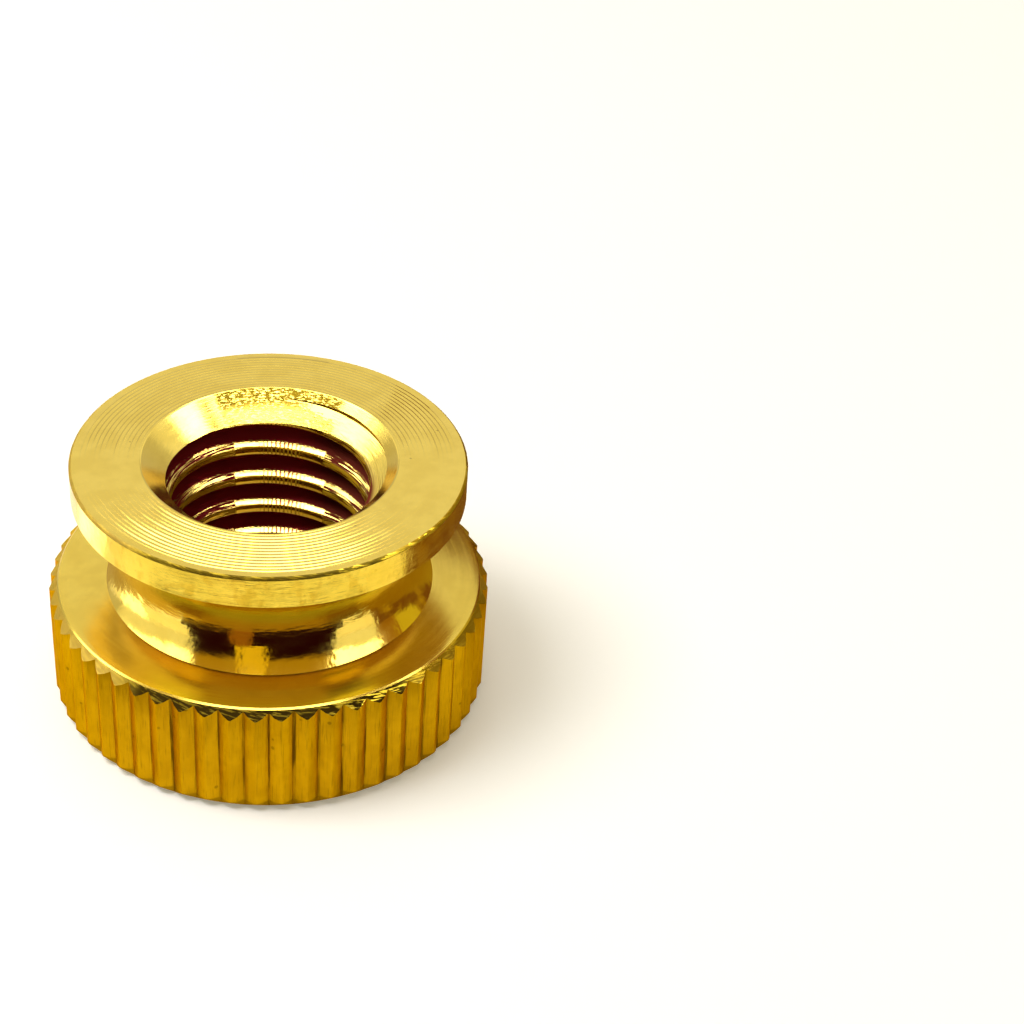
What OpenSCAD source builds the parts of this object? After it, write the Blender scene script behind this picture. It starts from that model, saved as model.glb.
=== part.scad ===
// Knurled thumb nut, turned from one piece of brass bar.
// It stands on its knurled head, with the thread's axis along Z, and the flange that bears on the work on top.

/* [Thread] */
// Nominal diameter of the thread
thread_d = 8; // [7:0.5:8.5]
// Pitch of the thread
thread_pitch = 1.25; // [1:0.25:1.5]
// Diameter of the countersink at each end of the hole
countersink_d = 8.55; // [8.5:0.05:9.5]
// Depth of the countersink at each end of the hole
countersink_depth = 0.86; // [0.4:0.02:1.2]

/* [Knurled head] */
// Diameter over the crests of the knurl
head_d = 15.1; // [14:0.1:24]
// Height of the knurled head
head_h = 4.25; // [3.5:0.05:4.8]
// Size of the 45 degree chamfer at both ends of the knurl
head_chamfer = 0.33; // [0.25:0.01:0.8]
// Number of teeth round the knurl
knurl_teeth = 57; // [30:1:90]
// Depth of the knurl from crest to valley
knurl_depth = 0.22; // [0.1:0.01:0.24]

/* [Neck] */
// Diameter of the neck at its narrowest
waist_d = 10; // [9.5:0.1:10.6]
// Radius of the round groove that forms the neck
groove_r = 2.17; // [1.9:0.01:2.3]
// Height of the groove's centre above the bottom
groove_z = 5.75; // [5.4:0.05:5.9]

/* [Flange] */
// Diameter of the flange
flange_d = 13.2; // [12.8:0.1:14]
// Height of the whole nut
total_h = 9; // [8.6:0.1:12]
// Small chamfer round the flange's top edge
flange_chamfer = 0.08; // [0.02:0.01:0.3]

/* [Hidden] */
$fn = 180;
cut = 0.1;                                   // how far a cutter runs past the face that it cuts
minor_r = thread_d / 2 - thread_pitch * 0.54127; // crests of the internal thread, 5/8 of the V's height inside
head_r = head_d / 2;
flange_r = flange_d / 2;
tooth = 360 / knurl_teeth;                   // angle of one tooth
crest_share = 0.16;                          // share of a tooth that is its flat crest
valley_share = 0.10;                         // share of a tooth that is its flat valley

// A point in the plane from its radius and angle
function polar(r, a) = [r * cos(a), r * sin(a)];

// The four corners of tooth number i: both ends of its crest, then both ends of the valley after it
function tooth_points(i) = [
    polar(head_r, tooth * (i - crest_share / 2)),
    polar(head_r, tooth * (i + crest_share / 2)),
    polar(head_r - knurl_depth, tooth * (i + 0.5 - valley_share / 2)),
    polar(head_r - knurl_depth, tooth * (i + 0.5 + valley_share / 2))
];

// Straight knurl: a many toothed prism, as tall as the head
module knurl() {
    linear_extrude(height = head_h)
        polygon([for (i = [0 : knurl_teeth - 1]) each tooth_points(i)]);
}

// Plain disc with a chamfer at both ends, which trims the knurl
module head_envelope() {
    rotate_extrude()
        polygon([
            [0, 0],
            [head_r - head_chamfer, 0],
            [head_r, head_chamfer],
            [head_r, head_h - head_chamfer],
            [head_r - head_chamfer, head_h],
            [0, head_h]
        ]);
}

module knurled_head() {
    intersection() {
        knurl();
        head_envelope();
    }
}

// Neck and flange: a plain turned barrel with the round groove cut into it
module neck_and_flange() {
    difference() {
        rotate_extrude()
            polygon([
                [0, head_h - cut],
                [waist_d / 2, head_h - cut],
                [waist_d / 2, head_h],
                [flange_r, head_h],
                [flange_r, total_h - flange_chamfer],
                [flange_r - flange_chamfer, total_h],
                [0, total_h]
            ]);
        rotate_extrude()
            translate([waist_d / 2 + groove_r, groove_z])
                circle(r = groove_r);
    }
}

// Cone cutter that widens the mouth of the hole at height 0, opening downwards
module countersink() {
    slope = (countersink_d / 2 - minor_r) / countersink_depth;
    translate([0, 0, -cut])
        cylinder(h = countersink_depth + cut, r1 = countersink_d / 2 + slope * cut, r2 = minor_r);
}

// Threaded hole at the radius of the thread's crests, with a countersink at both ends
module threaded_hole() {
    translate([0, 0, -cut])
        cylinder(h = total_h + 2 * cut, r = minor_r);
    countersink();
    translate([0, 0, total_h])
        mirror([0, 0, 1])
            countersink();
}

module thumb_nut() {
    color("goldenrod")
        difference() {
            union() {
                knurled_head();
                neck_and_flange();
            }
            threaded_hole();
        }
}

thumb_nut();
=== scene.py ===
"""Looks of a knurled thumb nut, turned from one piece of brass bar.

The whole nut is one closed surface. It is a profile carried round the thread's axis, with the knurl's teeth
and the helix of the thread worked into the profile, so that it is a function of two parameters:
the place along the section, and the angle round the axis.
"""

import math

import bmesh
import bpy
import numpy as np
from mathutils import Matrix, Vector


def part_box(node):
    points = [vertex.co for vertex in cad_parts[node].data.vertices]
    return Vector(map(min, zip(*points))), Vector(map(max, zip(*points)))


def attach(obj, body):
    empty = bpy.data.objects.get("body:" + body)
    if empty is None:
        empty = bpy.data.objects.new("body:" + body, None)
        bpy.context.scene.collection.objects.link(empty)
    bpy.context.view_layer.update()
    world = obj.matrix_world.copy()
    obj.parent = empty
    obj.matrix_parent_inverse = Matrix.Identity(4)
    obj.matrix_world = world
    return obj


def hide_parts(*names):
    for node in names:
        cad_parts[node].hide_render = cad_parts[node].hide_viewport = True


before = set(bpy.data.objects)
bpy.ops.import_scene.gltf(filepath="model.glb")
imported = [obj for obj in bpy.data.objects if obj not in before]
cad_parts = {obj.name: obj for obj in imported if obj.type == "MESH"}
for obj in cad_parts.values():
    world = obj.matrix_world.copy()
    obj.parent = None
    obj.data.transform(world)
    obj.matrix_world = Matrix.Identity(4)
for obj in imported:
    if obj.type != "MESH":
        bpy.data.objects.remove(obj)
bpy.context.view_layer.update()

MM = 0.001  # the sizes below are in millimetres
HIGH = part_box("thumb_nut")[1]

# Main sizes of the nut, as the CAD part has them, and of its thread
HEAD_R = HIGH.x / MM  # a crest of the knurl lies on +X
TOTAL_H = HIGH.z / MM
HEAD_H = 4.25
HEAD_CHAMFER = 0.33
TEETH = 57
FLANGE_R = 6.6
FLANGE_CHAMFER = 0.08
WAIST_R = 5.0
GROOVE_R = 2.17
GROOVE_Z = 5.75
THREAD_R = 4.0
PITCH = 1.25
THREAD_SHARE = 0.54127  # depth of a metric thread as a share of its pitch
BORE_R = THREAD_R - PITCH * THREAD_SHARE
MOUTH_R = 4.275
MOUTH_DEPTH = 0.86

# Fine forms that only this surface has
KNURL_TURN = 0.8  # degrees that the knurl is turned round the axis
KNURL_DEPTH = 0.21
CREST_SHARE = 0.07  # share of a tooth that is its crest
VALLEY_SHARE = 0.03  # share of a tooth that is its valley
SHOULDER_AT = 0.27  # place of a tooth's shoulder, as a share of the tooth from the crest's middle
SHOULDER_FALL = 0.42  # share of the depth that the tooth has fallen there
DEPTH_SPREAD = 0.05  # most that a tooth's depth differs, as a share of it
CREST_WEAR = 0.02  # most that a crest is worn down
TOOL_FEED = 0.157  # spacing of the turning marks on the top face
MARK_DEPTH = 0.0115
MARK_SPREAD = 0.08  # most that the depth differs from mark to mark, as a share of it
MARK_WANDER = 0.05  # most that it differs along a mark
STEEP_SHARE = 0.27  # share of a turning mark that is its steep outward side
LIP_ROUND = 0.055  # rounding of the hole's upper mouth
EDGE_ROUND = 0.03  # rounding of the edges that were only deburred
CREST_ROUND = 0.2  # rounding of the thread's crests
FLUTE_DEPTH = 0.012  # depth of the tool's steps on the head's chamfer
THREAD_START = TOTAL_H - 0.483  # height of the thread groove's middle at angle 0, on its last turn
THREAD_TURNS = np.arange(-8, 2)  # turns of the groove that reach the hole, counted from that one
GROOVE_STEPS = 34
SIDE_STEPS = 6
FLUTE_STEPS = 8  # rings on the chamfer with the tool's steps
PLAIN_STEPS = 3  # rings on the plain chamfer below
SHARP_ANGLE = 18.0
WELD = 0.0015  # points nearer than this to each other are made one
ON_CONE = 0.02  # a face this near to a countersink's cone is part of it

# Marks that the finishes show
COMB_WAVE = 2.6  # teeth of the comb-like marks in the thread: radians of their wave for each degree
COMB_JITTER = 5.0  # radians that streaks shift that wave
SCRATCH_LINES = 22.0  # scratches on the chamfer: how quick they are down it,
SCRATCH_SLANT = 0.35  # how much they slant for each degree round the axis,
SCRATCH_ENDS = 13.0  # and how often they end

DEGREES = 180 / math.pi  # degrees in a radian
TEETH_RNG = np.random.default_rng(7)


# ---------------------------------------------------------------- shape

def column_angles():
    """Angles of the columns, six to a tooth: both ends of its crest, a shoulder, both ends of the next valley
    and the shoulder after that. angle = (tooth + share) 2 pi / teeth. The last column is the first one
    again, a full turn on."""
    shares = np.array([-CREST_SHARE / 2, CREST_SHARE / 2, SHOULDER_AT,
                       0.5 - VALLEY_SHARE / 2, 0.5 + VALLEY_SHARE / 2, 1 - SHOULDER_AT])
    tooth = 2 * np.pi / TEETH
    angles = (np.arange(TEETH)[:, None] + shares[None, :]).ravel() * tooth
    return np.append(angles, angles[0] + 2 * np.pi)


def tooth_radius():
    """Radius of the knurl at each column: HEAD_R on a crest, a part of the depth lower on a shoulder and the
    whole depth lower in a valley. Each tooth's depth differs a little, as a pressed knurl's does."""
    fall = np.array([0.0, 0.0, SHOULDER_FALL, 1.0, 1.0, SHOULDER_FALL])
    depth = KNURL_DEPTH * (1 + DEPTH_SPREAD * TEETH_RNG.uniform(-1, 1, TEETH))
    wear = CREST_WEAR * TEETH_RNG.uniform(0, 1, TEETH)
    radius = HEAD_R - np.repeat(wear, fall.size) - np.repeat(depth, fall.size) * np.tile(fall, TEETH)
    radius[0] = HEAD_R
    return np.append(radius, radius[0])


def thread_profile():
    """The thread's section as radius over the distance from its groove's middle, from 0 to half a pitch:
    a flat root of an eighth of the pitch, a flank at 60 degrees to the axis, and a rounded crest."""
    slope = math.sqrt(3)
    root = PITCH / 16
    flank = (THREAD_R - BORE_R - CREST_ROUND / 2) / slope
    turn = np.radians(np.array([60.0, 45.0, 30.0, 15.0, 0.0]))
    flat = PITCH / 2 - root - flank - CREST_ROUND * math.sin(turn[0])
    crest_u = PITCH / 2 - flat - CREST_ROUND * np.sin(turn)
    crest_r = BORE_R + CREST_ROUND * (1 - np.cos(turn))
    u = np.concatenate([[0.0, root], crest_u, [PITCH / 2]])
    r = np.concatenate([[THREAD_R, THREAD_R], crest_r, [BORE_R]])
    return u, r


def hole_rows(angle):
    """Wall of the hole, from its lower mouth to its upper one. At each angle the rows stand at the sorted
    heights of every edge that is there: the knots of the thread's section on each turn,
    z = start + pitch * angle / (2 pi) + knot, the ends of both countersinks, and the curves where the
    thread's flanks run out on them. The radius is the largest of the thread's and the two countersinks'
    at that height."""
    knot_u, knot_r = thread_profile()
    turns = THREAD_TURNS[:, None, None] * PITCH
    middle = THREAD_START + PITCH * angle / (2 * np.pi)
    knots = np.concatenate([-knot_u[:0:-1], knot_u[1:-1]])
    helical = (turns + knots[None, :, None] + middle[None, None, :]).reshape(-1, angle.size)

    slope = math.sqrt(3)
    cone = (MOUTH_R - BORE_R) / MOUTH_DEPTH
    depth = THREAD_R - BORE_R
    foot = TOTAL_H - MOUTH_DEPTH
    top_end = foot + depth / cone
    root = PITCH / 16
    grooves = THREAD_TURNS[:, None] * PITCH + middle[None, :]
    upper = (depth + slope * (grooves + root) + cone * foot) / (slope + cone)
    lower = (slope * (grooves - root) - cone * foot - depth) / (slope - cone)
    low_foot = MOUTH_DEPTH
    low_end = MOUTH_DEPTH - depth / cone
    under = (cone * low_foot + slope * (grooves - root) - depth) / (slope + cone)
    over = (slope * (grooves + root) - cone * low_foot + depth) / (slope - cone)
    meets = np.concatenate([
        np.clip(upper, foot, top_end),
        np.clip(lower, foot, top_end),
        np.clip(under, low_end, low_foot),
        np.clip(over, low_end, low_foot),
    ])
    levels = np.concatenate([
        [0.0, low_end, low_foot, foot, top_end],
        np.linspace(0.1, MOUTH_DEPTH - 0.1, 4),
        np.linspace(foot + 0.05, TOTAL_H - 0.05, 12),
    ])
    fixed = np.repeat(levels[:, None], angle.size, axis=1)
    top = TOTAL_H - EDGE_ROUND * 0.8
    z = np.sort(np.clip(np.concatenate([helical, meets, fixed]), 0.0, top), axis=0)

    u = np.abs((z - middle + PITCH / 2) % PITCH - PITCH / 2)
    r = np.interp(u, knot_u, knot_r)
    r = np.maximum(r, BORE_R + cone * (z - foot))
    r = np.maximum(r, BORE_R + cone * (low_foot - z))
    return r, z


def ring_rows(points, angle):
    """Rows of a plain turned surface: each (radius, height) of the section, the same at every angle."""
    points = np.asarray(points, float)
    return np.repeat(points[:, :1], angle.size, axis=1), np.repeat(points[:, 1:], angle.size, axis=1)


def top_face_rows(angle):
    """The bearing face with the tool's marks. From each mark's sharp top the section falls steeply outwards
    by the mark's depth, then rises gently to the next top. The depth wanders a little from mark to mark and
    along each of them."""
    inner = MOUTH_R + LIP_ROUND
    outer = FLANGE_R - FLANGE_CHAMFER
    count = int((outer - inner) / TOOL_FEED)
    tops = inner + 0.01 + np.arange(count) * TOOL_FEED
    rng = np.random.default_rng(11)
    between = MARK_SPREAD * rng.uniform(-1, 1, count)[:, None]
    along = MARK_WANDER * np.sin(angle[None, :] * 5 + rng.uniform(0, 6, count)[:, None])
    depth = MARK_DEPTH * (1 + between + along)
    r = np.stack([tops, tops + STEEP_SHARE * TOOL_FEED], axis=1).reshape(-1, 1)
    z = np.stack([np.zeros_like(depth), -depth], axis=1).reshape(-1, angle.size)
    return np.repeat(r, angle.size, axis=1), TOTAL_H + z


def groove_rows(angle):
    """The neck: an arc of the groove's circle, from the rim's lower edge to the head's face.
    r = centre's radius + R cos(turn), z = centre's height + R sin(turn)."""
    centre_r = WAIST_R + GROOVE_R
    start = math.acos((FLANGE_R - centre_r) / GROOVE_R)
    end = math.pi + math.asin((GROOVE_Z - HEAD_H) / GROOVE_R)
    turn = np.linspace(start, end, GROOVE_STEPS)
    r = centre_r + GROOVE_R * np.cos(turn)
    z = GROOVE_Z + GROOVE_R * np.sin(turn)
    return ring_rows(np.stack([r, z], axis=1), angle)


def chamfer_rows(tooth, steps, depth):
    """The head's 45 degree chamfer down to the teeth: rings at even steps outwards, none further out than the
    tooth at that angle, each as far down as out. Every second ring is sunk by the depth, which leaves the
    tool's steps."""
    inner = HEAD_R - HEAD_CHAMFER
    ring = np.linspace(inner, HEAD_R, steps + 1)[1:]
    sunk = np.where(np.arange(steps) % 2 == 0, depth, 0.0)
    sunk[-1] = 0.0
    r = np.minimum(ring[:, None], tooth[None, :])
    fade = np.clip((tooth[None, :] - ring[:, None]) / (HEAD_CHAMFER / steps), 0, 1)
    fall = r - inner + sunk[:, None] * fade
    return r, fall


def knurl_rows(tooth):
    """The teeth's straight sides, between the two chamfers, which take as much height at each angle as the
    tooth reaches past their inner edge. z runs from head height - (r - inner edge) down to r - inner edge."""
    low = tooth - HEAD_R + HEAD_CHAMFER
    top = HEAD_H - low
    share = np.linspace(0, 1, SIDE_STEPS)[:, None]
    return np.repeat(tooth[None, :], SIDE_STEPS, axis=0), top + (low - top) * share


def thumb_nut():
    """Stacks the rows of the whole section, from the upper mouth outwards and round to the upper mouth again,
    and joins them into one closed mesh. x = r cos(angle), y = r sin(angle)."""
    angle = column_angles() + math.radians(KNURL_TURN)
    tooth = tooth_radius()
    head_edge = HEAD_R - HEAD_CHAMFER
    cone = (MOUTH_R - BORE_R) / MOUTH_DEPTH

    bend = np.radians(np.array([38.0, 28.0, 18.0, 8.0]))
    lip_r = MOUTH_R + LIP_ROUND * (0.75 - np.sin(bend))
    lip_z = TOTAL_H - LIP_ROUND * (1 - np.cos(bend))
    lip = ring_rows(np.stack([lip_r, lip_z], axis=1), angle)
    flange_edge = ring_rows([
        (FLANGE_R - FLANGE_CHAMFER, TOTAL_H),
        (FLANGE_R - 0.035, TOTAL_H - 0.030),
        (FLANGE_R, TOTAL_H - FLANGE_CHAMFER),
    ], angle)
    rim_low = GROOVE_Z + math.sqrt(GROOVE_R ** 2 - (WAIST_R + GROOVE_R - FLANGE_R) ** 2)
    rim = ring_rows([(FLANGE_R, z) for z in np.linspace(TOTAL_H - 0.12, rim_low + 0.03, 4)], angle)
    foot_r = WAIST_R + GROOVE_R - math.sqrt(GROOVE_R ** 2 - (GROOVE_Z - HEAD_H) ** 2)
    head_face = ring_rows(
        [(r, HEAD_H) for r in np.linspace(foot_r + 0.01, head_edge - EDGE_ROUND, 8)]
        + [(head_edge - 0.008, HEAD_H - 0.004), (head_edge + 0.004, HEAD_H - 0.014)], angle)
    flute_r, flute_fall = chamfer_rows(tooth, FLUTE_STEPS, FLUTE_DEPTH)
    plain_r, plain_fall = chamfer_rows(tooth, PLAIN_STEPS, 0.0)
    bottom_face = ring_rows([(r, 0.0) for r in np.linspace(head_edge, MOUTH_R, 12)[:-1]], angle)

    zones = [
        ("turned_face", lip),
        ("turned_face", top_face_rows(angle)),
        ("edge", flange_edge),
        ("rim", rim),
        ("neck", groove_rows(angle)),
        ("head_face", head_face),
        ("chamfer", (flute_r, HEAD_H - flute_fall)),
        ("knurl", knurl_rows(tooth)),
        ("chamfer", (plain_r[::-1], plain_fall[::-1])),
        ("bottom_face", bottom_face),
        ("hole", hole_rows(angle)),
    ]
    r = np.concatenate([zone_r for _, (zone_r, _) in zones])
    z = np.concatenate([zone_z for _, (_, zone_z) in zones])
    points = np.stack([r * np.cos(angle), r * np.sin(angle), z], axis=2).reshape(-1, 3) * MM

    rows, columns = r.shape
    i, j = np.meshgrid(np.arange(rows), np.arange(columns - 1), indexing="ij")
    nxt = (i + 1) % rows
    faces = np.stack([i * columns + j, nxt * columns + j, nxt * columns + j + 1, i * columns + j + 1], axis=2)
    faces = faces.reshape(-1, 4)

    names = list(FINISHES)
    row_finish = np.repeat([names.index(FINISH_OF[zone]) for zone, _ in zones],
                           [len(zone_r) for _, (zone_r, _) in zones])
    finish = np.repeat(row_finish, columns - 1)
    middle = points[faces].mean(axis=1) / MM
    middle_r = np.hypot(middle[:, 0], middle[:, 1])
    from_mouth = np.minimum(middle[:, 2], TOTAL_H - middle[:, 2])
    in_mouth = (finish == names.index("tapped_thread")) & (from_mouth < MOUTH_DEPTH)
    on_cone = np.abs(middle_r - BORE_R - cone * (MOUTH_DEPTH - from_mouth)) < ON_CONE
    finish[in_mouth & on_cone] = names.index("countersink")

    mesh = bpy.data.meshes.new("thumb_nut_brass")
    mesh.from_pydata(points, [], faces)
    mesh.polygons.foreach_set("material_index", finish.astype(np.int32))
    mesh.polygons.foreach_set("use_smooth", np.ones(len(faces), bool))
    bm = bmesh.new()
    bm.from_mesh(mesh)
    bmesh.ops.remove_doubles(bm, verts=bm.verts, dist=WELD * MM)
    bm.to_mesh(mesh)
    bm.free()
    mesh.update()
    mesh.set_sharp_from_angle(angle=math.radians(SHARP_ANGLE))
    nut = bpy.data.objects.new("thumb_nut_brass", mesh)
    bpy.context.scene.collection.objects.link(nut)
    return nut


# ---------------------------------------------------------------- shader helpers

def add(tree, kind, **settings):
    node = tree.nodes.new(kind)
    for key, value in settings.items():
        setattr(node, key, value)
    return node


def feed(tree, socket, value):
    if isinstance(value, bpy.types.NodeSocket):
        tree.links.new(value, socket)
    else:
        socket.default_value = value


def maths(tree, operation, *values):
    node = add(tree, "ShaderNodeMath", operation=operation)
    for socket, value in zip(node.inputs, values):
        feed(tree, socket, value)
    return node.outputs[0]


def ramp(tree, value, low, high, out_low=0.0, out_high=1.0):
    """A soft step from one value to the other. With low above high it falls as the value grows."""
    node = add(tree, "ShaderNodeMapRange", interpolation_type="SMOOTHSTEP")
    limits = {"From Min": low, "From Max": high, "To Min": out_low, "To Max": out_high}
    feed(tree, node.inputs["Value"], value)
    for name, limit in limits.items():
        feed(tree, node.inputs[name], limit)
    return node.outputs["Result"]


def combine(tree, x, y, z):
    node = add(tree, "ShaderNodeCombineXYZ")
    for socket, value in zip(node.inputs, (x, y, z)):
        feed(tree, socket, value)
    return node.outputs[0]


def split(tree, vector):
    node = add(tree, "ShaderNodeSeparateXYZ")
    feed(tree, node.inputs[0], vector)
    return node.outputs


def scaled(tree, vector, scale):
    node = add(tree, "ShaderNodeVectorMath", operation="SCALE")
    feed(tree, node.inputs[0], vector)
    feed(tree, node.inputs["Scale"], scale)
    return node.outputs[0]


def object_place(tree):
    return add(tree, "ShaderNodeTexCoord").outputs["Object"]


def from_axis(tree, x, y):
    """The root of x squared plus y squared."""
    squares = maths(tree, "ADD", maths(tree, "MULTIPLY", x, x), maths(tree, "MULTIPLY", y, y))
    return maths(tree, "SQRT", squares)


def turn_round(tree, x, y):
    """The angle round the axis in degrees, from -180 to 180."""
    return maths(tree, "MULTIPLY", maths(tree, "ARCTAN2", y, x), DEGREES)


def noise(tree, vector, scale=1.0, detail=2.0, rough=0.5):
    node = add(tree, "ShaderNodeTexNoise")
    feed(tree, node.inputs["Vector"], vector)
    feed(tree, node.inputs["Scale"], scale)
    feed(tree, node.inputs["Detail"], detail)
    feed(tree, node.inputs["Roughness"], rough)
    return node.outputs["Fac"]


def mix(tree, mask, a, b):
    node = add(tree, "ShaderNodeMix", data_type="RGBA")
    feed(tree, node.inputs["Factor"], mask)
    feed(tree, node.inputs[6], a)
    feed(tree, node.inputs[7], b)
    return node.outputs[2]


def new_group(name, inputs, outputs):
    tree = bpy.data.node_groups.new(name, "ShaderNodeTree")
    for label, value in inputs.items():
        kind = "NodeSocketColor" if isinstance(value, tuple) else "NodeSocketFloat"
        tree.interface.new_socket(label, in_out="INPUT", socket_type=kind).default_value = value
    for label, kind in outputs.items():
        tree.interface.new_socket(label, in_out="OUTPUT", socket_type=kind)
    return tree, add(tree, "NodeGroupInput").outputs, add(tree, "NodeGroupOutput").inputs


def use(tree, group, **values):
    node = add(tree, "ShaderNodeGroup", node_tree=group)
    for name, value in values.items():
        feed(tree, node.inputs[name], value)
    return node.outputs


# ---------------------------------------------------------------- shared effects

def make_lathe_place():
    """Radius and height in millimetres, the angle round the axis in degrees from 0 to 360, and its cosine
    and sine."""
    tree, _, out = new_group("lathe_place", {}, {
        "Radius": "NodeSocketFloat", "Height": "NodeSocketFloat", "Angle": "NodeSocketFloat",
        "Cosine": "NodeSocketFloat", "Sine": "NodeSocketFloat"})
    x, y, z = (maths(tree, "MULTIPLY", side, 1 / MM) for side in split(tree, object_place(tree)))
    radius = from_axis(tree, x, y)
    feed(tree, out["Radius"], radius)
    feed(tree, out["Height"], z)
    feed(tree, out["Angle"], maths(tree, "MODULO", maths(tree, "ADD", turn_round(tree, x, y), 360.0), 360.0))
    feed(tree, out["Cosine"], maths(tree, "DIVIDE", x, radius))
    feed(tree, out["Sine"], maths(tree, "DIVIDE", y, radius))
    return tree


def make_turning_marks(lathe_place):
    """Fine lines round the axis: noise that is quick across the section and slow along the cut."""
    tree, inp, out = new_group("turning_marks", {"Lines": 20.0, "Wander": 1.0}, {"Height": "NodeSocketFloat"})
    at = use(tree, lathe_place)
    across = maths(tree, "MULTIPLY", maths(tree, "ADD", at["Radius"], at["Height"]), inp["Lines"])
    along_x = maths(tree, "MULTIPLY", at["Cosine"], inp["Wander"])
    along_y = maths(tree, "MULTIPLY", at["Sine"], inp["Wander"])
    feed(tree, out["Height"], noise(tree, combine(tree, across, along_x, along_y), 1.0, 2.0, 0.6))
    return tree


def make_axial_streaks(lathe_place):
    """Streaks along the axis, as a knurling wheel leaves: noise that is quick round the nut and slow
    along it."""
    tree, inp, out = new_group("axial_streaks", {"Lines": 14.0, "Length": 1.0}, {"Height": "NodeSocketFloat"})
    at = use(tree, lathe_place)
    x = maths(tree, "MULTIPLY", maths(tree, "MULTIPLY", at["Cosine"], at["Radius"]), inp["Lines"])
    y = maths(tree, "MULTIPLY", maths(tree, "MULTIPLY", at["Sine"], at["Radius"]), inp["Lines"])
    z = maths(tree, "DIVIDE", at["Height"], inp["Length"])
    feed(tree, out["Height"], noise(tree, combine(tree, x, y, z), 1.0, 2.0, 0.55))
    return tree


def make_specks():
    """Small pits and grains: a mask that is 1 on a share of the dots of a cell pattern."""
    tree, inp, out = new_group("specks", {"Per mm": 6.0, "Size": 0.25, "Share": 0.3},
                               {"Mask": "NodeSocketFloat"})
    cells = add(tree, "ShaderNodeTexVoronoi")
    per_metre = maths(tree, "DIVIDE", inp["Per mm"], MM)
    feed(tree, cells.inputs["Vector"], scaled(tree, object_place(tree), per_metre))
    feed(tree, cells.inputs["Scale"], 1.0)
    pick = add(tree, "ShaderNodeSeparateColor")
    feed(tree, pick.inputs[0], cells.outputs["Color"])
    chosen = maths(tree, "LESS_THAN", pick.outputs[0], inp["Share"])
    dot = ramp(tree, cells.outputs["Distance"], inp["Size"], maths(tree, "MULTIPLY", inp["Size"], 0.5))
    feed(tree, out["Mask"], maths(tree, "MULTIPLY", chosen, dot))
    return tree


def make_arc_patch(lathe_place):
    """A stretch of the circumference: 1 between two angles, in degrees, with softened ends."""
    tree, inp, out = new_group("arc_patch", {"From": 55.0, "To": 117.0, "Soft": 4.0},
                               {"Mask": "NodeSocketFloat"})
    at = use(tree, lathe_place)
    opens = ramp(tree, at["Angle"], inp["From"], maths(tree, "ADD", inp["From"], inp["Soft"]))
    closes = ramp(tree, at["Angle"], inp["To"], maths(tree, "SUBTRACT", inp["To"], inp["Soft"]))
    feed(tree, out["Mask"], maths(tree, "MULTIPLY", opens, closes))
    return tree


def make_brass_tone():
    """Brass colour that drifts slowly between two tones, and takes the cover colour where the mask says: real
    stains and marks in some finishes, painted shade and a painted olive reflection in others.
    """
    tree, inp, out = new_group("brass_tone", {
        "Tone": (0.93, 0.665, 0.08, 1.0), "Second tone": (0.88, 0.60, 0.06, 1.0),
        "Cover colour": (0.10, 0.055, 0.01, 1.0), "Cover mask": 0.0}, {"Color": "NodeSocketColor"})
    drift = ramp(tree, noise(tree, scaled(tree, object_place(tree), 1.1 / MM), 1.0, 3.0, 0.6), 0.35, 0.65)
    toned = mix(tree, drift, inp["Tone"], inp["Second tone"])
    feed(tree, out["Color"], mix(tree, inp["Cover mask"], toned, inp["Cover colour"]))
    return tree


LATHE_PLACE = make_lathe_place()
TURNING_MARKS = make_turning_marks(LATHE_PLACE)
AXIAL_STREAKS = make_axial_streaks(LATHE_PLACE)
SPECKS = make_specks()
ARC_PATCH = make_arc_patch(LATHE_PLACE)
BRASS_TONE = make_brass_tone()


# ---------------------------------------------------------------- finishes

# Colours laid over the brass here and there: some are real stains, some painted shade, and one a painted
# reflection
# painted reflection on the neck under the flange
OLIVE_PAINTED_SHEEN = (0.98, 0.84, 0.07, 1)
TAN_FILM = (0.47, 0.30, 0.06, 1)
# painted shade at the right of the chamfer
BROWN_SHADE = (0.36, 0.18, 0.004, 1)
CREST_BROWN = (0.62, 0.36, 0.014, 1)
# partly real grime, partly painted shade on the chamfer
BLACK_OIL_AND_SHADE = (0.034, 0.018, 0.003, 1)
# painted shade deep in the thread, also used for its marks
BROWN_OIL_AND_SHADE = (0.13, 0.003, 0.009, 1)
RED_OIL_AND_SHADE = (0.36, 0.004, 0.028, 1)
FULL_COVER = 0.98  # the most that the colours laid over the metal, painted shade among them, hide of it


def brass(name):
    """A brass material with its own shader; what varies over the surface is fed in by the caller."""
    material = bpy.data.materials.new(name)
    material.use_nodes = True
    tree = material.node_tree
    shader = tree.nodes["Principled BSDF"]
    shader.inputs["Metallic"].default_value = 1.0
    return material, tree, shader


def relief(tree, shader, height, depth):
    """Bump of the given depth in millimetres."""
    bump = add(tree, "ShaderNodeBump")
    bump.inputs["Distance"].default_value = depth * MM
    bump.inputs["Strength"].default_value = 1.0
    feed(tree, bump.inputs["Height"], height)
    tree.links.new(bump.outputs[0], shader.inputs["Normal"])


def dull_where_masked(tree, shader, mask):
    """Where the mask is, the metal fades to a dull colour that doesn't mirror. The mask carries real grime
    and marks, and in some finishes painted shade as well.
    """
    shader.inputs["Specular IOR Level"].default_value = 0.0
    feed(tree, shader.inputs["Metallic"], maths(tree, "SUBTRACT", 1.0, mask))


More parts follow.
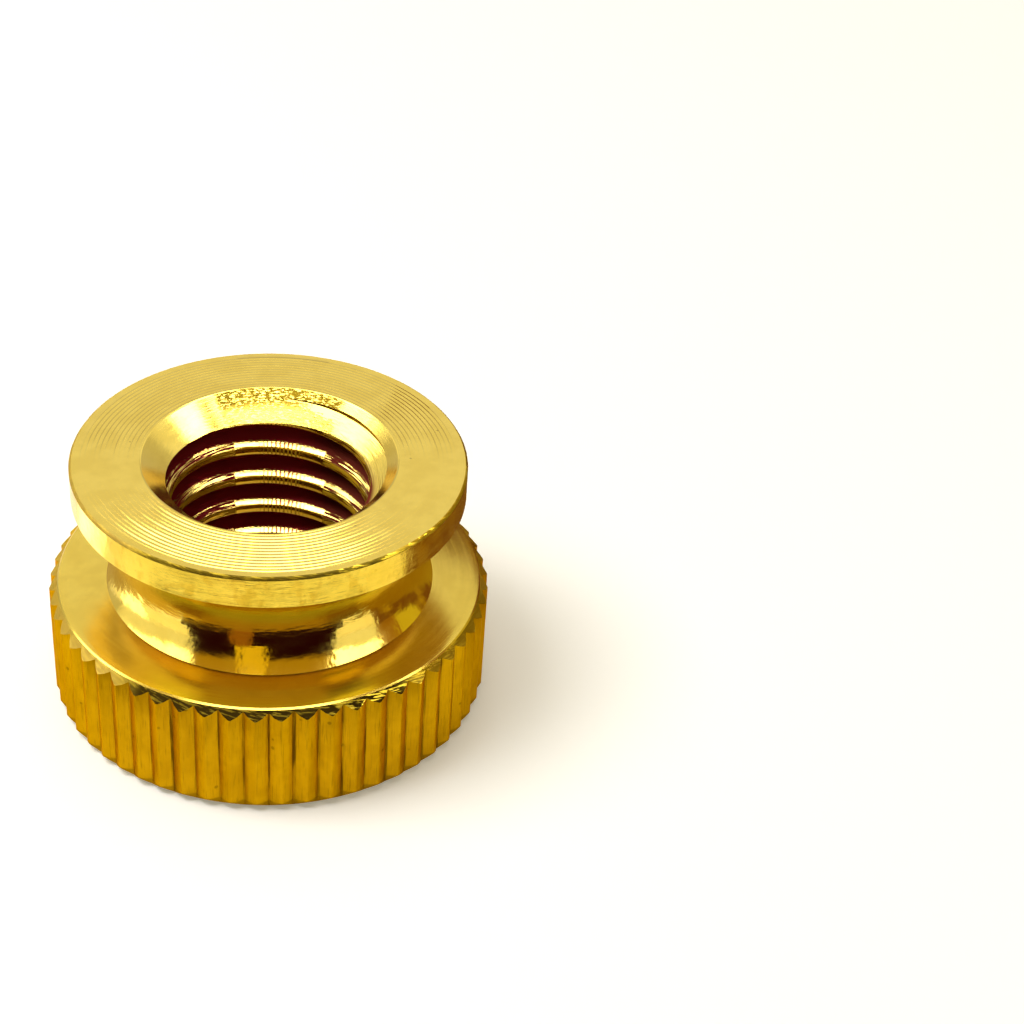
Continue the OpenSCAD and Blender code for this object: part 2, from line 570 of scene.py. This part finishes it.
def turned_face():
    """Bright, with the finest marks and a few small spots."""
    material, tree, shader = brass("turned_face")
    marks = use(tree, TURNING_MARKS, **{"Lines": 22.0, "Wander": 1.5})["Height"]
    grains = use(tree, SPECKS, **{"Per mm": 3.0, "Size": 0.16, "Share": 0.10})["Mask"]
    tone = use(tree, BRASS_TONE, **{"Tone": (0.80, 0.575, 0.105, 1), "Second tone": (0.75, 0.53, 0.09, 1),
                                    "Cover mask": maths(tree, "MULTIPLY", grains, 0.4)})
    feed(tree, shader.inputs["Base Color"], tone["Color"])
    feed(tree, shader.inputs["Roughness"], ramp(tree, marks, 0.3, 0.7, 0.12, 0.18))
    relief(tree, shader, marks, 0.002)
    return material


def turned_rim():
    """The flange's outer side: mottled, with small worn spots."""
    material, tree, shader = brass("turned_rim")
    marks = use(tree, TURNING_MARKS, **{"Lines": 9.0, "Wander": 6.0})["Height"]
    mottle = use(tree, AXIAL_STREAKS, **{"Lines": 2.4, "Length": 0.7})["Height"]
    grains = use(tree, SPECKS, **{"Per mm": 4.0, "Size": 0.3, "Share": 0.25})["Mask"]
    worn = maths(tree, "MAXIMUM", maths(tree, "MULTIPLY", grains, 0.4),
                 ramp(tree, mottle, 0.52, 0.68, 0.0, 0.45))
    tone = use(tree, BRASS_TONE, **{"Tone": (0.89, 0.615, 0.06, 1), "Second tone": (0.82, 0.55, 0.045, 1),
                                    "Cover colour": (0.66, 0.37, 0.01, 1), "Cover mask": worn})
    feed(tree, shader.inputs["Base Color"], tone["Color"])
    feed(tree, shader.inputs["Roughness"], ramp(tree, marks, 0.3, 0.7, 0.17, 0.24))
    relief(tree, shader, maths(tree, "ADD", maths(tree, "MULTIPLY", marks, 0.4), mottle), 0.014)
    return material


def polished_neck():
    """Smooth, with a painted olive reflection under the flange."""
    material, tree, shader = brass("polished_neck")
    at = use(tree, LATHE_PLACE)
    marks = use(tree, TURNING_MARKS, **{"Lines": 5.0, "Wander": 4.0})["Height"]
    mottle = use(tree, AXIAL_STREAKS, **{"Lines": 2.4, "Length": 0.6})["Height"]
    # Painted reflection: near the flange, over the front and sides, the neck turns a brighter olive.
    overlay = maths(tree, "MULTIPLY", ramp(tree, at["Height"], 5.6, 6.4),
                 use(tree, ARC_PATCH, **{"From": 205.0, "To": 335.0, "Soft": 30.0})["Mask"])
    tone = use(tree, BRASS_TONE, **{"Tone": (0.92, 0.66, 0.11, 1), "Second tone": (0.89, 0.62, 0.09, 1),
                                    "Cover colour": OLIVE_PAINTED_SHEEN, "Cover mask": overlay})
    feed(tree, shader.inputs["Base Color"], tone["Color"])
    feed(tree, shader.inputs["Roughness"], ramp(tree, marks, 0.3, 0.7, 0.09, 0.16))
    fine = use(tree, TURNING_MARKS, **{"Lines": 13.0, "Wander": 14.0})["Height"]
    coarse = maths(tree, "ADD", maths(tree, "MULTIPLY", marks, 0.8), mottle)
    relief(tree, shader, maths(tree, "ADD", coarse, maths(tree, "MULTIPLY", fine, 0.35)), 0.011)
    return material


def satin_head_face():
    """A little duller than the flange's face, with fine marks."""
    material, tree, shader = brass("satin_head_face")
    marks = use(tree, TURNING_MARKS, **{"Lines": 12.0, "Wander": 1.5})["Height"]
    tone = use(tree, BRASS_TONE, **{"Tone": (0.77, 0.545, 0.085, 1), "Second tone": (0.72, 0.50, 0.07, 1)})
    feed(tree, shader.inputs["Base Color"], tone["Color"])
    feed(tree, shader.inputs["Roughness"], ramp(tree, marks, 0.3, 0.7, 0.17, 0.22))
    relief(tree, shader, marks, 0.002)
    return material


def knurled_side():
    """Deep gold with scratches along the teeth and a few spots. The valleys are darkened as painted shade,
    most on one side, and a painted contact shadow darkens the foot."""
    material, tree, shader = brass("knurled_side")
    at = use(tree, LATHE_PLACE)
    streaks = use(tree, AXIAL_STREAKS, **{"Lines": 12.0, "Length": 1.3})["Height"]
    scratches = use(tree, AXIAL_STREAKS, **{"Lines": 26.0, "Length": 0.8})["Height"]
    rust = use(tree, SPECKS, **{"Per mm": 2.2, "Size": 0.2, "Share": 0.10})["Mask"]
    # Painted shade in the valleys, strongest on one side of the nut and uneven along it.
    valley = ramp(tree, at["Radius"], HEAD_R - KNURL_DEPTH + 0.016, HEAD_R - KNURL_DEPTH)
    # Painted contact shadow: the lowest part of the teeth is darkened.
    foot = ramp(tree, at["Height"], 0.40, 0.31, 0.0, 0.4)
    side = use(tree, ARC_PATCH, **{"From": 222.0, "To": 345.0, "Soft": 22.0})["Mask"]
    uneven = use(tree, AXIAL_STREAKS, **{"Lines": 0.9, "Length": 4.0})["Height"]
    darkening = maths(tree, "MULTIPLY", ramp(tree, side, 0.0, 1.0, 0.35, 1.0),
                ramp(tree, uneven, 0.35, 0.60, 0.45, 1.0))
    valley = maths(tree, "MULTIPLY", valley, darkening)
    darkened = maths(tree, "MULTIPLY", valley, ramp(tree, streaks, 0.66, 0.40, 0.15, 0.8))
    for mask in (maths(tree, "MULTIPLY", rust, 0.5), foot, ramp(tree, scratches, 0.55, 0.72, 0.0, 0.30)):
        darkened = maths(tree, "MAXIMUM", darkened, mask)
    shader.inputs["Specular Tint"].default_value = (0.8, 0.5, 0.02, 1)
    tone = use(tree, BRASS_TONE, **{"Tone": (0.58, 0.315, 0.004, 1), "Second tone": (0.50, 0.265, 0.003, 1),
                                    "Cover colour": (0.12, 0.05, 0.003, 1), "Cover mask": darkened})
    feed(tree, shader.inputs["Base Color"], tone["Color"])
    dull_where_masked(tree, shader, maths(tree, "MULTIPLY", darkened, 0.9))
    feed(tree, shader.inputs["Roughness"], ramp(tree, streaks, 0.3, 0.7, 0.30, 0.42))
    relief(tree, shader, maths(tree, "ADD", streaks, maths(tree, "MULTIPLY", scratches, 0.4)), 0.010)
    return material


def cut_chamfer():
    """Rough from the cut, dark on one stretch, partly with real grime and partly as painted shade, and
    darkened round the foot as a painted contact shadow. Before the dark stretch comes a tan one, and after it
    painted brown shade. Slanting scratches thin all three, most at the dark stretch's end."""
    material, tree, shader = brass("cut_chamfer")
    at = use(tree, LATHE_PLACE)
    # Partly real grime, partly painted shade over this stretch.
    oily_and_shaded = use(tree, ARC_PATCH, **{"From": 222.0, "To": 316.0, "Soft": 16.0})["Mask"]
    # Painted brown shade on the right of the chamfer.
    brown = use(tree, ARC_PATCH, **{"From": 302.0, "To": 359.0, "Soft": 12.0})["Mask"]
    tan = use(tree, ARC_PATCH, **{"From": 160.0, "To": 236.0, "Soft": 10.0})["Mask"]
    marks = use(tree, TURNING_MARKS, **{"Lines": 14.0, "Wander": 10.0})["Height"]
    patchy = use(tree, AXIAL_STREAKS, **{"Lines": 1.1, "Length": 1.0})["Height"]
    down = maths(tree, "ADD", maths(tree, "MULTIPLY", at["Height"], SCRATCH_LINES),
                 maths(tree, "MULTIPLY", at["Angle"], SCRATCH_SLANT))
    along_x = maths(tree, "MULTIPLY", at["Cosine"], SCRATCH_ENDS)
    along_y = maths(tree, "MULTIPLY", at["Sine"], SCRATCH_ENDS)
    scratches = noise(tree, combine(tree, down, along_x, along_y), 1.0, 2.0, 0.6)
    bare = use(tree, ARC_PATCH, **{"From": 280.0, "To": 334.0, "Soft": 16.0})["Mask"]
    line = maths(tree, "SUBTRACT", 0.72, maths(tree, "MULTIPLY", bare, 0.55))
    dirt_and_shade = maths(tree, "ADD", oily_and_shaded, 0.12)
    # Painted contact shadow on the chamfer round the foot.
    foot = ramp(tree, at["Height"], 0.6, 0.4, 0.0, 0.6)
    for share in (ramp(tree, scratches, 0.50, 0.57, 1.0, line), ramp(tree, patchy, 0.60, 0.48, 0.92, 1.0),
                  ramp(tree, at["Height"], HEAD_H + 0.5, HEAD_H + 0.1, 0.75, 1.0)):
        dirt_and_shade = maths(tree, "MULTIPLY", dirt_and_shade, share)
    dirt_and_shade = maths(tree, "MINIMUM", maths(tree, "MAXIMUM", dirt_and_shade, foot), FULL_COVER)
    tone = use(tree, BRASS_TONE, **{"Tone": (0.70, 0.49, 0.035, 1), "Second tone": (0.58, 0.39, 0.022, 1),
                                    "Cover colour": BLACK_OIL_AND_SHADE, "Cover mask": dirt_and_shade})
    # The tan colour, and the painted brown shade at the right.
    overlay = mix(tree, brown, TAN_FILM, BROWN_SHADE)
    cover = maths(tree, "MAXIMUM", tan, brown)
    for share in (ramp(tree, scratches, 0.48, 0.56, 0.92, line), maths(tree, "SUBTRACT", 1.0, dirt_and_shade)):
        cover = maths(tree, "MULTIPLY", cover, share)
    feed(tree, shader.inputs["Base Color"], mix(tree, cover, tone["Color"], overlay))
    dull_where_masked(tree, shader, maths(tree, "MINIMUM", maths(tree, "ADD", dirt_and_shade, cover), FULL_COVER))
    shader.inputs["Specular Tint"].default_value = (0.8, 0.55, 0.05, 1)
    feed(tree, shader.inputs["Roughness"], ramp(tree, marks, 0.3, 0.7, 0.22, 0.42))
    relief(tree, shader, marks, 0.03)
    return material


def tapped_thread():
    """Bright on the upper corners of the crests and brown on their flats. Deep in the groove it is darkened
    as painted shade, reddish on one side, and the same dark colour lies in the tool's marks. One stretch has
    comb-like marks across the thread, and the rest has scratches along it."""
    material, tree, shader = brass("tapped_thread")
    at = use(tree, LATHE_PLACE)
    patch = use(tree, ARC_PATCH, **{"From": 56.0, "To": 112.0, "Soft": 1.0})["Mask"]
    comb = use(tree, ARC_PATCH, **{"From": 66.0, "To": 100.0, "Soft": 12.0})["Mask"]
    chatter = use(tree, AXIAL_STREAKS, **{"Lines": 11.0, "Length": 5.0})["Height"]
    marks = use(tree, TURNING_MARKS, **{"Lines": 17.0, "Wander": 2.2})["Height"]
    reach = maths(tree, "ADD", at["Radius"], maths(tree, "MULTIPLY", chatter, 0.16))
    in_hole = ramp(tree, at["Height"], TOTAL_H - 0.75, TOTAL_H - 0.95)
    # Painted shade deep in the groove, where light comes only after many mirrorings.
    deep = maths(tree, "MULTIPLY", ramp(tree, reach, 3.60, 3.68, 0.0, 0.97), in_hole)
    # The crests' flats take a darker brown.
    crest = maths(tree, "MULTIPLY", ramp(tree, at["Radius"], 3.360, 3.335, 0.0, 0.9), in_hole)
    wave = maths(tree, "SINE", maths(tree, "ADD", maths(tree, "MULTIPLY", at["Angle"], COMB_WAVE),
                                     maths(tree, "MULTIPLY", chatter, COMB_JITTER)))
    teeth = maths(tree, "MULTIPLY", ramp(tree, wave, 0.2, 0.7, 0.0, 0.8), comb)
    lines = use(tree, TURNING_MARKS, **{"Lines": 10.0, "Wander": 2.2})["Height"]
    rough_cut = maths(tree, "MULTIPLY", ramp(tree, lines, 0.46, 0.50, 0.1, 0.97),
                      maths(tree, "SUBTRACT", 1.0, patch))
    marked = maths(tree, "MULTIPLY", maths(tree, "MAXIMUM", teeth, rough_cut), in_hole)
    dirt_and_shade = maths(tree, "MAXIMUM", deep, marked)
    # The painted shade turns reddish on one side of the hole.
    reddish = use(tree, ARC_PATCH, **{"From": 50.0, "To": 180.0, "Soft": 30.0})["Mask"]
    darkening = mix(tree, reddish, BROWN_OIL_AND_SHADE, RED_OIL_AND_SHADE)
    along = maths(tree, "MULTIPLY", marks, maths(tree, "SUBTRACT", 2.2, maths(tree, "MULTIPLY", patch, 1.9)))
    height = maths(tree, "ADD", maths(tree, "MULTIPLY", chatter, maths(tree, "MULTIPLY", patch, 0.5)), along)
    tone = use(tree, BRASS_TONE, **{"Tone": (0.95, 0.72, 0.17, 1), "Second tone": (0.90, 0.66, 0.14, 1),
                                    "Cover colour": darkening, "Cover mask": dirt_and_shade})
    inside = mix(tree, crest, tone["Color"], CREST_BROWN)
    feed(tree, shader.inputs["Base Color"], mix(tree, in_hole, (0.88, 0.63, 0.11, 1), inside))
    dull_where_masked(tree, shader, dirt_and_shade)
    feed(tree, shader.inputs["Roughness"], ramp(tree, marks, 0.3, 0.7, 0.06, 0.11))
    relief(tree, shader, height, 0.008)
    return material


def countersink():
    """Smooth for most of its round. On one stretch the tool tore the brass, most of all near the mouth."""
    material, tree, shader = brass("countersink")
    at = use(tree, LATHE_PLACE)
    patch = use(tree, ARC_PATCH, **{"From": 52.0, "To": 118.0, "Soft": 3.0})["Mask"]
    marks = use(tree, TURNING_MARKS, **{"Lines": 12.0, "Wander": 9.0})["Height"]
    scars = use(tree, TURNING_MARKS, **{"Lines": 13.0, "Wander": 24.0})["Height"]
    grains = use(tree, SPECKS, **{"Per mm": 8.0, "Size": 0.5, "Share": 0.5})["Mask"]
    near_mouth = ramp(tree, at["Radius"], 3.60, 4.00, 0.35, 1.0)
    torn = maths(tree, "MAXIMUM", ramp(tree, scars, 0.45, 0.54), maths(tree, "MULTIPLY", grains, 0.6))
    torn = maths(tree, "MULTIPLY", maths(tree, "MULTIPLY", torn, patch), near_mouth)
    height = maths(tree, "SUBTRACT", maths(tree, "MULTIPLY", marks, maths(tree, "ADD", patch, 0.2)), torn)
    darkened = maths(tree, "MULTIPLY", torn, 0.96)
    tone = use(tree, BRASS_TONE, **{"Tone": (0.90, 0.65, 0.12, 1), "Second tone": (0.85, 0.60, 0.10, 1),
                                    "Cover colour": (0.33, 0.20, 0.006, 1), "Cover mask": darkened})
    feed(tree, shader.inputs["Base Color"], tone["Color"])
    dull_where_masked(tree, shader, maths(tree, "MULTIPLY", darkened, 0.9))
    feed(tree, shader.inputs["Roughness"], ramp(tree, marks, 0.3, 0.7, 0.12, 0.20))
    relief(tree, shader, height, 0.014)
    return material


FINISHES = {
    "turned_face": turned_face,
    "turned_rim": turned_rim,
    "polished_neck": polished_neck,
    "satin_head_face": satin_head_face,
    "knurled_side": knurled_side,
    "cut_chamfer": cut_chamfer,
    "tapped_thread": tapped_thread,
    "countersink": countersink,
}
FINISH_OF = {
    "turned_face": "turned_face",
    "edge": "cut_chamfer",
    "rim": "turned_rim",
    "neck": "polished_neck",
    "head_face": "satin_head_face",
    "chamfer": "cut_chamfer",
    "knurl": "knurled_side",
    "bottom_face": "turned_face",
    "hole": "tapped_thread",
}

nut = thumb_nut()
for make in FINISHES.values():
    nut.data.materials.append(make())
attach(nut, "root")
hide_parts("thumb_nut")


# ---------------------------------------------------------------- studio

def stage_mesh(name, points, faces, material):
    mesh = bpy.data.meshes.new(name)
    mesh.from_pydata(points, [], faces)
    mesh.materials.append(material)
    obj = bpy.data.objects.new(name, mesh)
    bpy.context.scene.collection.objects.link(obj)
    return obj


def only_reflected(obj):
    """Shows the piece in reflections alone: not to the camera, and it casts and lights nothing."""
    obj.visible_camera = False
    obj.visible_diffuse = False
    obj.visible_shadow = False
    obj.visible_transmission = False
    obj.visible_volume_scatter = False


def seen_directly(tree):
    """1 for what the camera sees, straight or mirrored or through a clear thing, and 0 for the light that
    falls on things."""
    path = add(tree, "ShaderNodeLightPath").outputs
    bent = maths(tree, "MAXIMUM", path["Is Glossy Ray"], path["Is Transmission Ray"])
    return maths(tree, "MAXIMUM", path["Is Camera Ray"], bent)


def floor_material():
    """Pale floor that keeps the shadow. To the camera and in reflections it also shows a little light of its
    own, and far from the nut nothing but white light, so that it is as white as the world behind it."""
    material = bpy.data.materials.new("pale_floor")
    material.use_nodes = True
    tree = material.node_tree
    tree.nodes.clear()
    x, y, _ = split(tree, object_place(tree))
    far = ramp(tree, from_axis(tree, x, y), FLOOR_LIT[0] * MM, FLOOR_LIT[1] * MM)
    diffuse = add(tree, "ShaderNodeBsdfDiffuse")
    feed(tree, diffuse.inputs["Color"], FLOOR_COLOUR)
    seen = seen_directly(tree)
    glow = add(tree, "ShaderNodeEmission")
    feed(tree, glow.inputs["Color"], FLOOR_GLOW)
    feed(tree, glow.inputs["Strength"], seen)
    near = add(tree, "ShaderNodeAddShader")
    tree.links.new(diffuse.outputs[0], near.inputs[0])
    tree.links.new(glow.outputs[0], near.inputs[1])
    white = add(tree, "ShaderNodeEmission")
    feed(tree, white.inputs["Strength"], seen)
    blend = add(tree, "ShaderNodeMixShader")
    feed(tree, blend.inputs[0], far)
    tree.links.new(near.outputs[0], blend.inputs[1])
    tree.links.new(white.outputs[0], blend.inputs[2])
    out = add(tree, "ShaderNodeOutputMaterial")
    tree.links.new(blend.outputs[0], out.inputs["Surface"])
    return material


def first_mirroring(tree):
    """1 for light mirrored once on its way to the camera, 0 for light mirrored more often."""
    return maths(tree, "LESS_THAN", add(tree, "ShaderNodeLightPath").outputs["Ray Depth"], 1.5)


def emitting(name, colour, strength=1.0, deeper=1.0, deeper_colour=None):
    """A glow. Its strength, where above 1, holds in the first mirroring alone, and the deeper one in the next
    ones, so that it puts no bright flecks on the floor or deep between the nut's own walls. A deeper colour
    works in the same way."""
    material = bpy.data.materials.new(name)
    material.use_nodes = True
    tree = material.node_tree
    tree.nodes.clear()
    glow = add(tree, "ShaderNodeEmission")
    if deeper_colour is not None:
        colour = mix(tree, first_mirroring(tree), deeper_colour, colour)
    feed(tree, glow.inputs["Color"], colour)
    if strength > 1:
        more = maths(tree, "MULTIPLY", first_mirroring(tree), strength - deeper)
        strength = maths(tree, "ADD", deeper, more)
    feed(tree, glow.inputs["Strength"], strength)
    out = add(tree, "ShaderNodeOutputMaterial")
    tree.links.new(glow.outputs[0], out.inputs["Surface"])
    return material, tree, glow


def sky_part(name, az, el, distance, colour, strength, deeper=1.0):
    """A part of a sphere round the nut between two azimuths and two elevations, in degrees, that shows in
    reflections alone. x = d cos(el) cos(az), y = d cos(el) sin(az), z = d sin(el)."""
    a, e = np.meshgrid(np.radians(np.linspace(*az, 33)), np.radians(np.linspace(*el, 17)), indexing="ij")
    points = np.stack([np.cos(e) * np.cos(a), np.cos(e) * np.sin(a), np.sin(e)], axis=2).reshape(-1, 3)
    columns = a.shape[1]
    i, j = np.meshgrid(np.arange(a.shape[0] - 1), np.arange(columns - 1), indexing="ij")
    k = i * columns + j
    faces = np.stack([k, k + columns, k + columns + 1, k + 1], axis=2).reshape(-1, 4)
    material, tree, glow = emitting(name, colour, strength, deeper)
    only_reflected(stage_mesh(name, points * distance * MM, faces, material))
    return tree, glow


def front_screen():
    """The dark room round the camera: black low down and a warm brown above. A warm upright strip stands in
    it. Dark floor reaches from it to near the nut, with a low lip standing on it."""
    reach = (SCREEN_AT - SCREEN_HALF, SCREEN_AT + SCREEN_HALF)
    tree, glow = sky_part("front_screen", reach, (0, 49), SCREEN_R, WHITE, 1.0)
    x, y, z = split(tree, object_place(tree))
    level = maths(tree, "MULTIPLY", maths(tree, "ARCSINE", maths(tree, "DIVIDE", z, SCREEN_R * MM)), DEGREES)
    turn = maths(tree, "ADD", turn_round(tree, x, y), 360.0)
    room = mix(tree, ramp(tree, level, *BROWN_FROM), SCREEN_DARK, SCREEN_BROWN)
    strip = maths(tree, "MULTIPLY", ramp(tree, turn, *STRIP_FROM), ramp(tree, turn, *STRIP_TO))
    strip = maths(tree, "MULTIPLY", strip, ramp(tree, level, *STRIP_TOP))
    seen = mix(tree, strip, room, SCREEN_STRIP)
    feed(tree, glow.inputs["Color"], mix(tree, first_mirroring(tree), SCREEN_DEEPER, seen))
    floor_part("front_floor", reach, DARK_FLOOR_R, SCREEN_R, SCREEN_DARK, 1.0, deeper_colour=SCREEN_DEEPER)
    low_wall("front_lip", reach, LIP_R, LIP_H, SCREEN_DARK, SCREEN_DEEPER)


def ring_band(az, start, end):
    """Points and faces of a band round the axis between two azimuths, in degrees, that joins the
    (radius, height) of one edge with that of the other. x = r cos(turn), y = r sin(turn)."""
    turn = np.radians(np.linspace(*az, 33))
    ring = np.stack([np.cos(turn), np.sin(turn)], axis=1)
    edges = [np.column_stack([ring * r, np.full(turn.size, z)]) for r, z in (start, end)]
    k = np.arange(turn.size - 1)
    return np.concatenate(edges) * MM, np.stack([k, k + 1, k + 1 + turn.size, k + turn.size], axis=1)


def floor_part(name, az, near, far, colour, strength, height=0.2, deeper_colour=None):
    """A sector of the floor, just above it, that shows in reflections alone."""
    points, faces = ring_band(az, (near, height), (far, height))
    material = emitting(name, colour, strength, deeper_colour=deeper_colour)[0]
    only_reflected(stage_mesh(name, points, faces, material))


def low_wall(name, az, radius, height, colour, deeper_colour=None):
    """An upright band round the nut that shows in reflections alone."""
    points, faces = ring_band(az, (radius, 0.3), (radius, height))
    material, tree, glow = emitting(name, colour, deeper_colour=deeper_colour)
    only_reflected(stage_mesh(name, points, faces, material))
    return tree, glow


def side_wall():
    """A low wall at the right, which stands for the brass things that lie about the nut: dark with lighter
    spots near the floor and further back, brown higher up in front, and olive between the two."""
    tree, glow = low_wall("side_wall", (WALL_FROM, WALL_TO), WALL_R, WALL_H, WALL_DARK)
    x, y, z = split(tree, object_place(tree))
    turn = turn_round(tree, x, y)
    spots = noise(tree, object_place(tree), WALL_SPOTS / MM, 3.0, 0.6)
    dark = mix(tree, ramp(tree, spots, 0.52, 0.72), WALL_DARK, WALL_SPOT)
    front = mix(tree, ramp(tree, turn, *OLIVE_FROM), WALL_LIGHT, WALL_OLIVE)
    upper = mix(tree, ramp(tree, turn, *DARK_FROM), front, dark)
    seen = mix(tree, ramp(tree, z, UPPER_FROM[0] * MM, UPPER_FROM[1] * MM), dark, upper)
    feed(tree, glow.inputs["Color"], mix(tree, first_mirroring(tree), WALL_DEEPER, seen))


def ceiling_part(name, x, y, strength, deeper=1.0, slant=0.0):
    """A flat bright part of the ceiling, given by its reach to each side over its height. Its far edge lies
    further out by the slant on the left, and nearer by as much on the right."""
    left, right = x
    near, far = y
    corners = np.array([(left, near, 1), (right, near, 1), (right, far - slant, 1), (left, far + slant, 1)])
    material = emitting(name, WHITE, strength, deeper)[0]
    only_reflected(stage_mesh(name, corners * CEILING_HEIGHT * MM, [(0, 1, 2, 3)], material))


def soft_lamp(name, towards, distance, width, height, radiance, colour=(1, 1, 1)):
    """A rectangular soft lamp in the given direction, facing the nut. Power = pi * area * radiance."""
    data = bpy.data.lights.new(name, "AREA")
    data.shape = "RECTANGLE"
    data.size = width * MM
    data.size_y = height * MM
    data.energy = math.pi * data.size * data.size_y * radiance
    data.color = colour
    lamp = bpy.data.objects.new(name, data)
    direction = Vector(towards).normalized()
    lamp.location = direction * distance * MM
    lamp.rotation_mode = "QUATERNION"
    lamp.rotation_quaternion = direction.to_track_quat("Z", "Y")
    lamp.visible_camera = False
    lamp.visible_glossy = False
    bpy.context.scene.collection.objects.link(lamp)


WHITE = (1, 1, 1, 1)
FLOOR_SIZE = 3.0  # metres from the nut to each side of the floor
FLOOR_COLOUR = (0.87, 0.87, 0.86, 1)
FLOOR_GLOW = (0.32, 0.285, 0.21, 1)
FLOOR_LIT = (60.0, 160.0)  # the floor takes light out to the first radius, and is plain white past the second
WORLD_FILL = 0.14
FILL_COLOUR = (1.0, 0.93, 0.74, 1)
SCREEN_R = 300.0
SCREEN_AT = 264.0  # azimuth of the screen's middle
SCREEN_HALF = 48.0  # degrees that it reaches to each side of it
BROWN_FROM = (15, 28)  # elevations between which it turns from dark to brown
STRIP_FROM = (246, 250)  # azimuths between which its strip sets in
STRIP_TO = (268, 264)  # azimuths between which the strip ends
STRIP_TOP = (50, 46)  # elevations between which the strip ends
ROOM_WHITE = (1.0, 0.97, 0.9, 1)
ROOM_GREY = (0.62, 0.60, 0.55, 1)
SHADE_BROWN = (0.24, 0.13, 0.01, 1)
SCREEN_DARK = (0.016, 0.001, 0.004, 1)
SCREEN_BROWN = (0.42, 0.26, 0.015, 1)
SCREEN_DEEPER = (0.47, 0.38, 0.14, 1)  # what light mirrored more than once brings from there
SCREEN_STRIP = (0.83, 0.59, 0.03, 1)
STRIP_LOW = (0.30, 0.12, 0.01, 1)
DARK_FLOOR_R = 19.3
LIP_R, LIP_H = 12.0, 2.95
WALL_FROM, WALL_TO, WALL_R, WALL_H = -28.0, 62.0, 12.0, 11.0
OLIVE_FROM = (-17, -13)  # azimuths between which the wall's upper part turns olive
DARK_FROM = (0, 4)  # azimuths between which it turns dark
UPPER_FROM = (4.0, 5.0)  # heights between which the upper part begins
WALL_SPOTS = 0.55  # lighter spots for each millimetre
WALL_DARK = (0.18, 0.075, 0.012, 1)
WALL_SPOT = (0.46, 0.30, 0.015, 1)
WALL_LIGHT = (0.34, 0.17, 0.018, 1)
WALL_OLIVE = (0.62, 0.52, 0.05, 1)
WALL_DEEPER = (0.40, 0.31, 0.02, 1)
CEILING_HEIGHT = 300.0

floor_corners = [(x * FLOOR_SIZE, y * FLOOR_SIZE, 0) for x, y in ((-1, -1), (1, -1), (1, 1), (-1, 1))]
stage_mesh("floor", floor_corners, [(0, 1, 2, 3)], floor_material())
front_screen()
side_wall()
ceiling_part("ceiling_front", (-1.12, 0.68), (-0.86, -0.05), 6.5, 0.42)
ceiling_part("ceiling_middle_left", (-1.12, -0.2), (-0.05, 0.24), 6.5, 0.5)
ceiling_part("ceiling_middle_right", (0.2, 0.68), (-0.05, 0.24), 6.5, 0.5)
ceiling_part("ceiling_back", (-1.12, 0.68), (0.24, 0.60), 7.0, 0.6, 0.22)
ceiling_part("ceiling_left", (-1.75, -1.25), (-0.45, 0.45), 8.0)
ceiling_part("ceiling_right", (0.68, 1.3), (-0.45, 0.40), 8.0)
sky_part("left_softbox", (159, 178), (19, 31), 280, WHITE, 4.5)
sky_part("left_high", (136, 158), (32, 50), 285, WHITE, 5.0)
sky_part("left_room", (178, 213), (20, 37), 290, ROOM_WHITE, 4.0)
sky_part("left_shade", (186, 216), (37, 54), 290, SHADE_BROWN, 1.0)
sky_part("right_softbox", (312, 345), (19, 40), 280, WHITE, 4.0, 0.2)
sky_part("right_shade", (312, 352), (40, 54), 290, SHADE_BROWN, 1.0)
sky_part("back_room", (30, 156), (0, 24), 290, ROOM_GREY, 1.0)
floor_part("left_gleam", (156, 180), 14, 250, WHITE, 3.0)
floor_part("front_pale", (196, 316), 12.5, DARK_FLOOR_R, WHITE, 1.3)
floor_part("front_floor_strip", (244, 257), DARK_FLOOR_R, 200, STRIP_LOW, 1.0, 0.3, SCREEN_DEEPER)
low_wall("front_lip_strip", (247, 260), LIP_R - 0.1, LIP_H, STRIP_LOW, SCREEN_DEEPER)
soft_lamp("overhead", (-0.1, 0.1, 1.0), 300, 300, 260, 1.68, (1.0, 0.97, 0.88))
soft_lamp("key", (-0.54, -0.04, 0.93), 260, 135, 135, 7.8)

world = bpy.data.worlds.new("studio")
world.use_nodes = True
bpy.context.scene.world = world
sky = world.node_tree
background = sky.nodes["Background"].inputs
seen = seen_directly(sky)  # white where it is seen, and only a faint fill where it lights things
feed(sky, background["Color"], mix(sky, seen, FILL_COLOUR, WHITE))
more_where_seen = maths(sky, "MULTIPLY", seen, 1 - WORLD_FILL)
feed(sky, background["Strength"], maths(sky, "ADD", WORLD_FILL, more_where_seen))


# ---------------------------------------------------------------- camera

CAMERA_DISTANCE = 76.009
CAMERA_ELEVATION = 40.124
CAMERA_AIM = (8.670, 2.981, 4.5)  # right of the nut and behind it: the nut stands left in the picture
CAMERA_ROLL = 4.415  # degrees that it is tilted sideways
LENS = 73.98

camera_data = bpy.data.cameras.new("camera")
camera_data.lens = LENS
camera_data.sensor_width = 36.0
camera_data.clip_start = 1 * MM
camera_data.clip_end = 10.0
camera = bpy.data.objects.new("camera", camera_data)
bpy.context.scene.collection.objects.link(camera)
raised = math.radians(CAMERA_ELEVATION)
stand = Vector((0, -math.cos(raised), math.sin(raised))) * CAMERA_DISTANCE * MM
back = (stand - Vector(CAMERA_AIM) * MM).normalized()
level_right = Vector((0, 0, 1)).cross(back).normalized()
roll = math.radians(CAMERA_ROLL)
right = level_right * math.cos(roll) + back.cross(level_right) * math.sin(roll)
up = back.cross(right)
turned = Matrix((right, up, back)).transposed().to_4x4()
camera.matrix_world = Matrix.Translation(stand) @ turned
bpy.context.scene.camera = camera

bpy.context.scene.view_settings.view_transform = "Standard"
